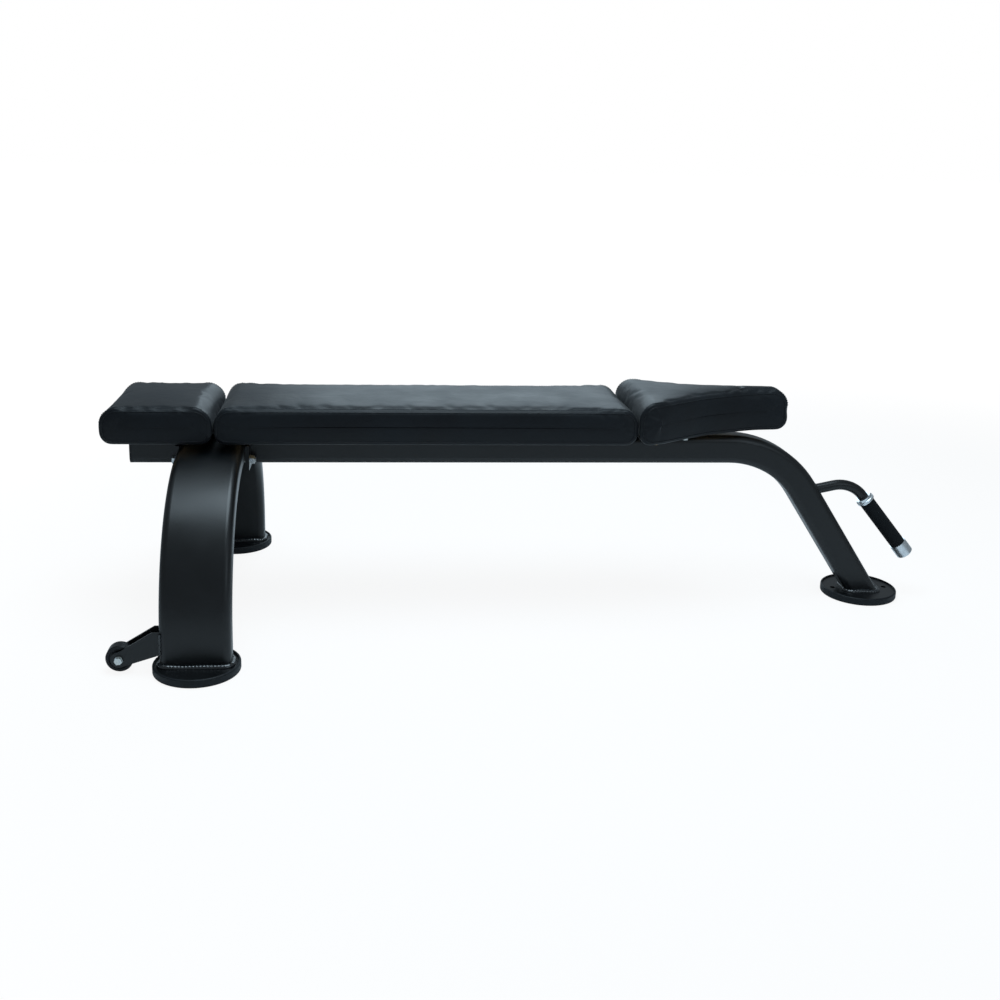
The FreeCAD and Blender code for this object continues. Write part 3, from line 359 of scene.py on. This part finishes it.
def tube(path, radius, sides=10, closed=False):
    """A tube along a path: a circle set square to the path at each of its points.

    radius is one number or one for each point. Returns points (path, sides, 3)."""
    path = np.asarray(path, float)
    if closed:
        tangent = np.roll(path, -1, 0) - np.roll(path, 1, 0)
    else:
        tangent = np.gradient(path, axis=0)
    tangent /= np.linalg.norm(tangent, axis=1, keepdims=True)
    up = np.where(np.abs(tangent[:, 2:]) > 0.9, [[0.0, 1.0, 0.0]], [[0.0, 0.0, 1.0]])
    one = np.cross(tangent, up)
    one /= np.linalg.norm(one, axis=1, keepdims=True)
    two = np.cross(one, tangent)
    angle = np.linspace(0, 2 * np.pi, sides, endpoint=False)
    width = np.broadcast_to(np.asarray(radius, float), (len(path),))[:, None, None]
    ring = np.cos(angle)[None, :, None] * one[:, None] + np.sin(angle)[None, :, None] * two[:, None]
    return path[:, None] + width * ring


# ---- pads

def loaf(length, height):
    """The side view of a pad as a closed loop: a rectangle whose upper corners have one rounding
    and lower corners another, and whose points are a grid step apart. On the underside two pairs
    of points lie close together, where the board's recess starts and ends. Returns the points
    and which of them lie over the board."""
    top, low = END_TOP_ROUND, END_LOW_ROUND

    def arc(cx, cz, radius, start):
        count = max(5, int(round(radius * math.pi / 2 / MESH_STEP)) + 1)
        angle = np.radians(np.linspace(start, start + 90, count))
        return np.stack([cx + radius * np.cos(angle), cz + radius * np.sin(angle)], -1)

    corners = [arc(length - low, low, low, -90), arc(length - top, height - top, top, 0),
               arc(top, height - top, top, 90), arc(low, low, low, 180)]
    loop = []
    for k, corner in enumerate(corners[:3]):
        start, end = corner[-1], corners[k + 1][0]
        count = max(2, int(round(np.linalg.norm(end - start) / MESH_STEP)))
        share = np.linspace(0, 1, count + 1)[1:-1, None]
        loop += [corner, start + (end - start) * share]
    edge = low + BOARD_EDGE
    count = int(round((length - 2 * edge) / MESH_STEP))
    inner = np.linspace(edge, length - edge, count + 1)
    under = np.concatenate([[edge - PINCH], inner, [length - edge + PINCH]])
    loop += [corners[3], np.stack([under, np.zeros(len(under))], -1)]
    points = np.concatenate(loop)
    over_board = np.zeros(len(points), bool)
    over_board[-len(inner) - 1:-1] = True
    return points, over_board


def pad_surface(length, height, half_width):
    """A pad as a grid of rows across it, each a closed loop round its side view.

    half_width(x) is the plan. Each row is the side view drawn in towards the pad's core line and
    set off sideways: inside the seams it rises by a crown that falls off as a cosine, over the
    seams it turns by a quarter circle, and the side panels swell outwards by a parabola. Under
    the pad the rows between its edges are raised over the board. Returns the points, the rows
    that lie on the seams and the points that stay where they are."""
    loop, over_board = loaf(length, height)
    middle = height / 2
    core = np.stack([np.clip(loop[:, 0], middle, length - middle), np.full(len(loop), middle)], -1)
    ends = np.clip(np.minimum(loop[:, 0], length - loop[:, 0]) / 0.12, 0, 1)
    swell = np.sin(ends * np.pi / 2) * np.clip((loop[:, 1] - middle) / middle, 0, 1)
    inner = half_width(loop[:, 0]) - CORNER_ROUND
    recess = half_width(loop[:, 0]) - BOARD_EDGE
    rows, kept = [], []

    def row(y, sunk=0.0, lift=0.0, raised=False, seam=False):
        drawn = loop + (core - loop) * (sunk / middle)
        z = drawn[:, 1] + lift * swell + np.where(over_board & raised, BOARD_DEEP, 0)
        rows.append(np.stack([drawn[:, 0], y, z], -1))
        kept.append(np.where(loop[:, 1] < END_LOW_ROUND / 2, 1.0, 0.8 if seam else 0.0))

    panel = np.linspace(0, 1, 8)[1:]
    turn = np.radians(np.linspace(0, 90, TURN_ROWS + 1))[1:]
    sides = [(1 - a, CORNER_ROUND + (middle - CORNER_ROUND) * a) for a in panel]

    def side_rows(side, outward):
        made = [("panel", a, sunk) for a, sunk in sides[::-1]] + [("turn", t, 0) for t in turn[::-1]]
        for kind, value, sunk in (made if outward < 0 else made[::-1]):
            if kind == "panel":
                row(side * (inner + CORNER_ROUND + SIDE_BULGE * (1 - value ** 2)), sunk)
            else:
                row(side * (inner + CORNER_ROUND * math.sin(value)), CORNER_ROUND * (1 - math.cos(value)),
                    seam=value > 1.5)

    side_rows(-1, -1)
    low_seam = len(panel)
    row(-inner)
    row(-recess - PINCH)
    count = int(round(2 * float(half_width(np.array([length / 4]))[0]) / MESH_STEP))
    for share in np.linspace(-1, 1, count):
        row(share * recess, lift=CROWN * math.cos(share * math.pi / 2), raised=True)
    row(recess + PINCH)
    row(inner)
    side_rows(1, 1)
    return np.array(rows), (low_seam, len(rows) - 1 - low_seam), np.array(kept)


def clean(mesh):
    """Merges the rows that meet on the middle line of each side panel."""
    import bmesh
    work = bmesh.new()
    work.from_mesh(mesh)
    bmesh.ops.remove_doubles(work, verts=work.verts, dist=PINCH / 4)
    bmesh.ops.dissolve_degenerate(work, edges=work.edges, dist=PINCH / 8)
    bmesh.ops.recalc_face_normals(work, faces=work.faces)
    work.to_mesh(mesh)
    work.free()


def inflate(thing, kept):
    """Lets a cover swell as cloth under pressure, held at its seams and underside, and keeps
    each point within a cap of where it started."""
    group = thing.vertex_groups.new(name="held")
    for level in (0.8, 1.0):
        group.add([int(k) for k in np.nonzero(np.isclose(kept, level))[0]], level, "REPLACE")
    start = np.zeros(len(thing.data.vertices) * 3)
    thing.data.vertices.foreach_get("co", start)
    cloth = thing.modifiers.new("cloth", "CLOTH")
    settings = cloth.settings
    settings.quality = 6
    settings.mass = 0.3
    settings.tension_stiffness = 12
    settings.compression_stiffness = 12
    settings.shear_stiffness = 6
    settings.bending_stiffness = 0.4
    settings.use_pressure = True
    settings.uniform_pressure_force = 4
    settings.shrink_min = -0.02
    settings.vertex_group_mass = "held"
    settings.effector_weights.gravity = 0
    for step in range(1, 21):
        bpy.context.scene.frame_set(step)
    shaped = thing.evaluated_get(bpy.context.evaluated_depsgraph_get())
    end = np.zeros(len(start))
    shaped.data.vertices.foreach_get("co", end)
    thing.modifiers.remove(cloth)
    bpy.context.scene.frame_set(1)
    move = (end - start).reshape(-1, 3)
    size = np.linalg.norm(move, axis=1, keepdims=True)
    move *= np.minimum(1, SWELL_CAP / np.maximum(size, 1e-9))
    thing.data.vertices.foreach_set("co", start + move.ravel())
    thing.data.update()
    thing.vertex_groups.remove(group)


def make_pad(name, length, height, half_width, place):
    """A pad's cushion with its welts and rows of stitches, made at the origin and set in place."""
    rows, seams, kept = pad_surface(length, height, half_width)
    count, around = rows.shape[:2]
    cushion = mesh_object(name + "_cover", rows.reshape(-1, 3), grid_faces(count, around),
                          material=VINYL)
    mesh = cushion.data
    for label, kind, values in (("kept", "FLOAT", kept.ravel()), ("source", "INT", np.arange(kept.size))):
        mesh.attributes.new(label, kind, "POINT").data.foreach_set("value", values)
    clean(mesh)
    kept = np.zeros(len(mesh.vertices))
    source = np.zeros(len(mesh.vertices), int)
    for label, values in (("kept", kept), ("source", source)):
        mesh.attributes[label].data.foreach_get("value", values)
        mesh.attributes.remove(mesh.attributes[label])
    inflate(cushion, kept)
    spot, normal = np.zeros((2, count * around, 3))
    points = np.zeros(len(mesh.vertices) * 3)
    mesh.vertices.foreach_get("co", points)
    spot[source] = points.reshape(-1, 3)
    mesh.vertex_normals.foreach_get("vector", points)
    normal[source] = points.reshape(-1, 3)
    spot, normal = spot.reshape(count, around, 3), normal.reshape(count, around, 3)
    welts = np.stack([tube(spot[seam], WELT, 8, closed=True) for seam in seams])
    quads = grid_faces(around, 8, closed_rows=True)
    piping = mesh_object(name + "_welts", welts.reshape(-1, 3),
                         np.concatenate([quads, quads + around * 8]), material=VINYL)
    thread = make_stitches(name, [(spot[k], normal[k]) for k in (seams[0] + TURN_ROWS, seams[1] - TURN_ROWS)],
                           height / 2)
    for piece in (cushion, piping, thread):
        piece.data.transform(place)
    smooth = cushion.modifiers.new("smooth", "SUBSURF")
    smooth.levels = smooth.render_levels = 1
    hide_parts(name + "_cushion")


def make_stitches(name, lines, middle):
    """A row of short stitches on the upper half of each line, each a tube that rises from the
    cover, runs along it and sinks in again."""
    sides = 5
    strands = []
    for line, normal in lines:
        upper = np.nonzero(line[:, 2] > middle)[0]
        line, normal = line[upper], normal[upper]
        run = np.concatenate([[0], np.cumsum(np.linalg.norm(np.diff(line, axis=0), axis=1))])
        starts = np.arange(STITCH_PITCH, run[-1] - STITCH_PITCH, STITCH_PITCH)
        at = starts[:, None] + np.linspace(0, STITCH_LONG, 4)[None]
        lift = np.array([-0.5, 0.9, 0.9, -0.5]) * STITCH_THICK
        spot, up = [np.stack([np.interp(at, run, values[:, k]) for k in range(3)], -1)
                    for values in (line, normal)]
        strands.append(spot + up * lift[None, :, None])
    strands = np.concatenate(strands)
    rings = np.array([tube(strand, STITCH_THICK, sides) for strand in strands]).reshape(-1, 3)
    shift = np.arange(len(strands)) * 4 * sides
    quads = (grid_faces(4, sides)[None] + shift[:, None, None]).reshape(-1, 4)
    return mesh_object(name + "_stitching", rings, quads, material=THREAD)


def straight(half):
    return lambda x: np.full(np.shape(x), half)


def seat_plan(x):
    """The seat's half width: straight stretches, eased by averaging each over a short length."""
    stations, halves = np.array(SEAT_SIDES).T
    window = np.linspace(-SEAT_EASE / 2, SEAT_EASE / 2, 9)
    return np.mean([np.interp(x + shift, stations, halves) for shift in window], axis=0)


for name in ("head_pad", "back_pad"):
    low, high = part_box(name + "_cushion")
    size = high - low
    make_pad(name, size.x, size.z, straight(size.y / 2), Matrix.Translation((low.x, 0, low.z)))
pad_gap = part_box("back_pad_cushion")[0].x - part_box("head_pad_cushion")[1].x
seat_start = Vector((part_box("back_pad_cushion")[1].x + pad_gap, 0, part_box("back_pad_cushion")[0].z))
seat_turn = Matrix.Rotation(math.radians(-SEAT_TILT), 4, "Y")
make_pad("seat_pad", SEAT_LENGTH, SEAT_THICK, seat_plan, Matrix.Translation(seat_start) @ seat_turn)


# ---- weld beads

def rounded_loop(half_x, half_y, corner, step=0.0016):
    """A rounded rectangle about zero as evenly spaced points: four quarter circles and the
    straight lines between them."""
    centres = [(half_x - corner, half_y - corner), (corner - half_x, half_y - corner),
               (corner - half_x, corner - half_y), (half_x - corner, corner - half_y)]
    rough = []
    for k, (cx, cy) in enumerate(centres):
        angle = np.radians(np.linspace(90 * k, 90 * k + 90, 24))
        rough.append(np.stack([cx + corner * np.cos(angle), cy + corner * np.sin(angle)], -1))
    rough = np.concatenate(rough + [rough[0][:1]])
    run = np.concatenate([[0], np.cumsum(np.linalg.norm(np.diff(rough, axis=0), axis=1))])
    at = np.linspace(0, run[-1], int(run[-1] / step), endpoint=False)
    return np.stack([np.interp(at, run, rough[:, k]) for k in range(2)], -1)


def make_weld(name, path, radius, closed, seed):
    """A painted weld bead: a tube whose radius ripples once for each dab of the weld and drifts
    slowly where the hand was uneven; its middle wanders a little too."""
    draw = np.random.default_rng(seed)
    path = np.asarray(path, float)
    run = np.concatenate([[0], np.cumsum(np.linalg.norm(np.diff(path, axis=0), axis=1))])
    total = run[-1] + (np.linalg.norm(path[0] - path[-1]) if closed else 0)
    dabs = max(2, round(total / RIPPLE))
    phase = run / total * dabs * 2 * np.pi
    drift = sum(draw.uniform(0.3, 1) * np.sin(run / total * 2 * np.pi * k + draw.uniform(0, 6))
                for k in range(1, 6))
    width = radius * (1 + 0.10 * np.abs(np.sin(phase / 2)) + 0.05 * drift)
    path = path + np.array([0, 0, radius * 0.08]) * drift[:, None]
    skin = tube(path, width, 12, closed=closed)
    mesh_object(name, skin.reshape(-1, 3), grid_faces(len(path), 12, closed_rows=closed),
                material=WELD)


def level_loop(loop, x, y, z):
    return np.column_stack([loop[:, 0] + x, loop[:, 1] + y, np.full(len(loop), z)])


plate_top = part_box("tail_foot_plate")[1].z
tail_half = BEAM_SIDE / 2 / math.cos(math.radians(LEG_TILT))
make_weld("tail_leg_weld", level_loop(rounded_loop(tail_half, BEAM_SIDE / 2, BEAM_CORNER), 0, 0,
                                      plate_top), BEAD, True, 1)
for seed, side in ((2, "front"), (3, "back")):
    low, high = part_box(side + "_foot_plate")
    centre = (low + high) / 2
    loop = rounded_loop(ARCH_WIDTH / 2, ARCH_DEPTH / 2, ARCH_CORNER)
    make_weld(side + "_leg_weld", level_loop(loop, centre.x, centre.y, plate_top), BEAD, True, seed)
    low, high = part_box(side + "_wheel_fork")
    for end, y in (("low", low.y), ("high", high.y)):
        upright = np.linspace(high.z - 0.003, high.z - 0.042, 40)
        make_weld("%s_fork_weld_%s" % (side, end),
                  np.column_stack([np.full(40, centre.x - ARCH_WIDTH / 2 + 0.0025), np.full(40, y), upright]),
                  THIN_BEAD, False, seed + 2)
tilt, rise = math.radians(LEG_TILT), math.radians(HANDLE_RISE)
root = np.array([(plate_top - HANDLE_UP) * math.tan(tilt) + tail_half, 0, HANDLE_UP])
angle = np.linspace(0, 2 * np.pi, 60, endpoint=False)[:, None]
make_weld("handle_weld", root + np.cos(angle) * HANDLE_TUBE / math.cos(tilt - rise)
          * np.array([[math.sin(tilt), 0, -math.cos(tilt)]])
          + np.sin(angle) * HANDLE_TUBE * np.array([[0, 1, 0]]), THIN_BEAD, True, 7)


# ---- camera, lights and floor

LENS_WIDTH = 36.0          # sensor, millimetres
FOCAL = 1.1899             # focal length as a share of the picture's width
SHIFT = (0.0336, -0.069)
YAW, PITCH, ROLL = 0.0838, 0.2438, -0.0231     # radians
EYE = (-1.0787, -2.3961, 0.9644)


def make_camera():
    """A camera turned by yaw about Z, tipped down by pitch and rolled about its own line of sight."""
    ahead = Vector((math.sin(YAW), math.cos(YAW), 0))
    right = Vector((math.cos(YAW), -math.sin(YAW), 0))
    down = Vector((0, 0, -1))
    look = ahead * math.cos(PITCH) + down * math.sin(PITCH)
    low = down * math.cos(PITCH) - ahead * math.sin(PITCH)
    side = right * math.cos(ROLL) + low * math.sin(ROLL)
    low = low * math.cos(ROLL) - right * math.sin(ROLL)
    data = bpy.data.cameras.new("camera")
    data.sensor_width = LENS_WIDTH
    data.lens = LENS_WIDTH * FOCAL
    data.shift_x, data.shift_y = SHIFT
    camera = bpy.data.objects.new("camera", data)
    camera.matrix_world = Matrix.Translation(EYE) @ Matrix((side, -low, -look)).transposed().to_4x4()
    bpy.context.scene.collection.objects.link(camera)
    bpy.context.scene.camera = camera


def make_lamp(name, spot, aim, size, power):
    """A square soft lamp at a spot that faces a point."""
    data = bpy.data.lights.new(name, "AREA")
    data.shape = "SQUARE"
    data.size = size
    data.energy = power
    data.color = (0.72, 0.89, 1.0)
    lamp = bpy.data.objects.new(name, data)
    lamp.location = spot
    lamp.rotation_euler = (Vector(spot) - Vector(aim)).to_track_quat("Z", "Y").to_euler()
    bpy.context.scene.collection.objects.link(lamp)


def make_world():
    """Plain pale surroundings: white where they are seen, dimmer and cooler as a light."""
    world = bpy.data.worlds.new("studio")
    bpy.context.scene.world = world
    world.use_nodes = True
    tree = world.node_tree
    tree.nodes.clear()
    path = add(tree, "ShaderNodeLightPath").outputs
    seen = path["Is Camera Ray"]
    strength = add(tree, "ShaderNodeMapRange", {"Value": seen, "To Min": 0.3, "To Max": 1.0})
    shade = add(tree, "ShaderNodeMix", {0: seen, 6: (0.78, 0.91, 1, 1), 7: (1, 1, 1, 1)}, data_type="RGBA")
    light = add(tree, "ShaderNodeBackground", {"Color": shade.outputs[2], "Strength": strength.outputs["Result"]})
    add(tree, "ShaderNodeOutputWorld", {"Surface": light.outputs["Background"]})


def make_floor():
    """A wide pale floor; it shows near white and keeps a soft part of the shadow."""
    half = 30.0
    mesh = bpy.data.meshes.new("floor")
    mesh.from_pydata([(-half, -half, 0), (half, -half, 0), (half, half, 0), (-half, half, 0)], [],
                     [(0, 1, 2, 3)])
    floor = bpy.data.objects.new("floor", mesh)
    bpy.context.scene.collection.objects.link(floor)
    material = bpy.data.materials.new("floor_paint")
    material.use_nodes = True
    tree = material.node_tree
    tree.nodes.clear()
    path = add(tree, "ShaderNodeLightPath").outputs
    paint = add(tree, "ShaderNodeBsdfDiffuse", {"Color": linear("#e4e6e8")})
    glow = add(tree, "ShaderNodeEmission", {"Color": (1, 1, 1, 1), "Strength": 1.03})
    place = add(tree, "ShaderNodeTexCoord").outputs["Object"]
    away = add(tree, "ShaderNodeVectorMath", {0: place}, operation="LENGTH")
    clear = add(tree, "ShaderNodeMapRange", {"Value": away.outputs["Value"], "From Min": 1.2, "From Max": 3.0,
                                             "To Min": 0.86, "To Max": 1.0}, interpolation_type="SMOOTHSTEP")
    share = add(tree, "ShaderNodeMath", {0: path["Is Camera Ray"], 1: clear.outputs["Result"]},
                operation="MULTIPLY")
    mix = add(tree, "ShaderNodeMixShader", {"Fac": share.outputs[0], 1: paint.outputs[0], 2: glow.outputs[0]})
    add(tree, "ShaderNodeOutputMaterial", {"Surface": mix.outputs[0]})
    mesh.materials.append(material)


make_camera()
make_world()
make_floor()
CENTRE = (-0.7, 0.0, 0.3)
make_lamp("overhead", (-0.9, -0.3, 2.6), CENTRE, 1.6, 56)
make_lamp("front_right", (1.2, -2.6, 1.8), CENTRE, 1.5, 10)
make_lamp("back", (-0.6, 2.4, 1.6), CENTRE, 1.6, 18)
bpy.context.scene.view_settings.view_transform = "Standard"
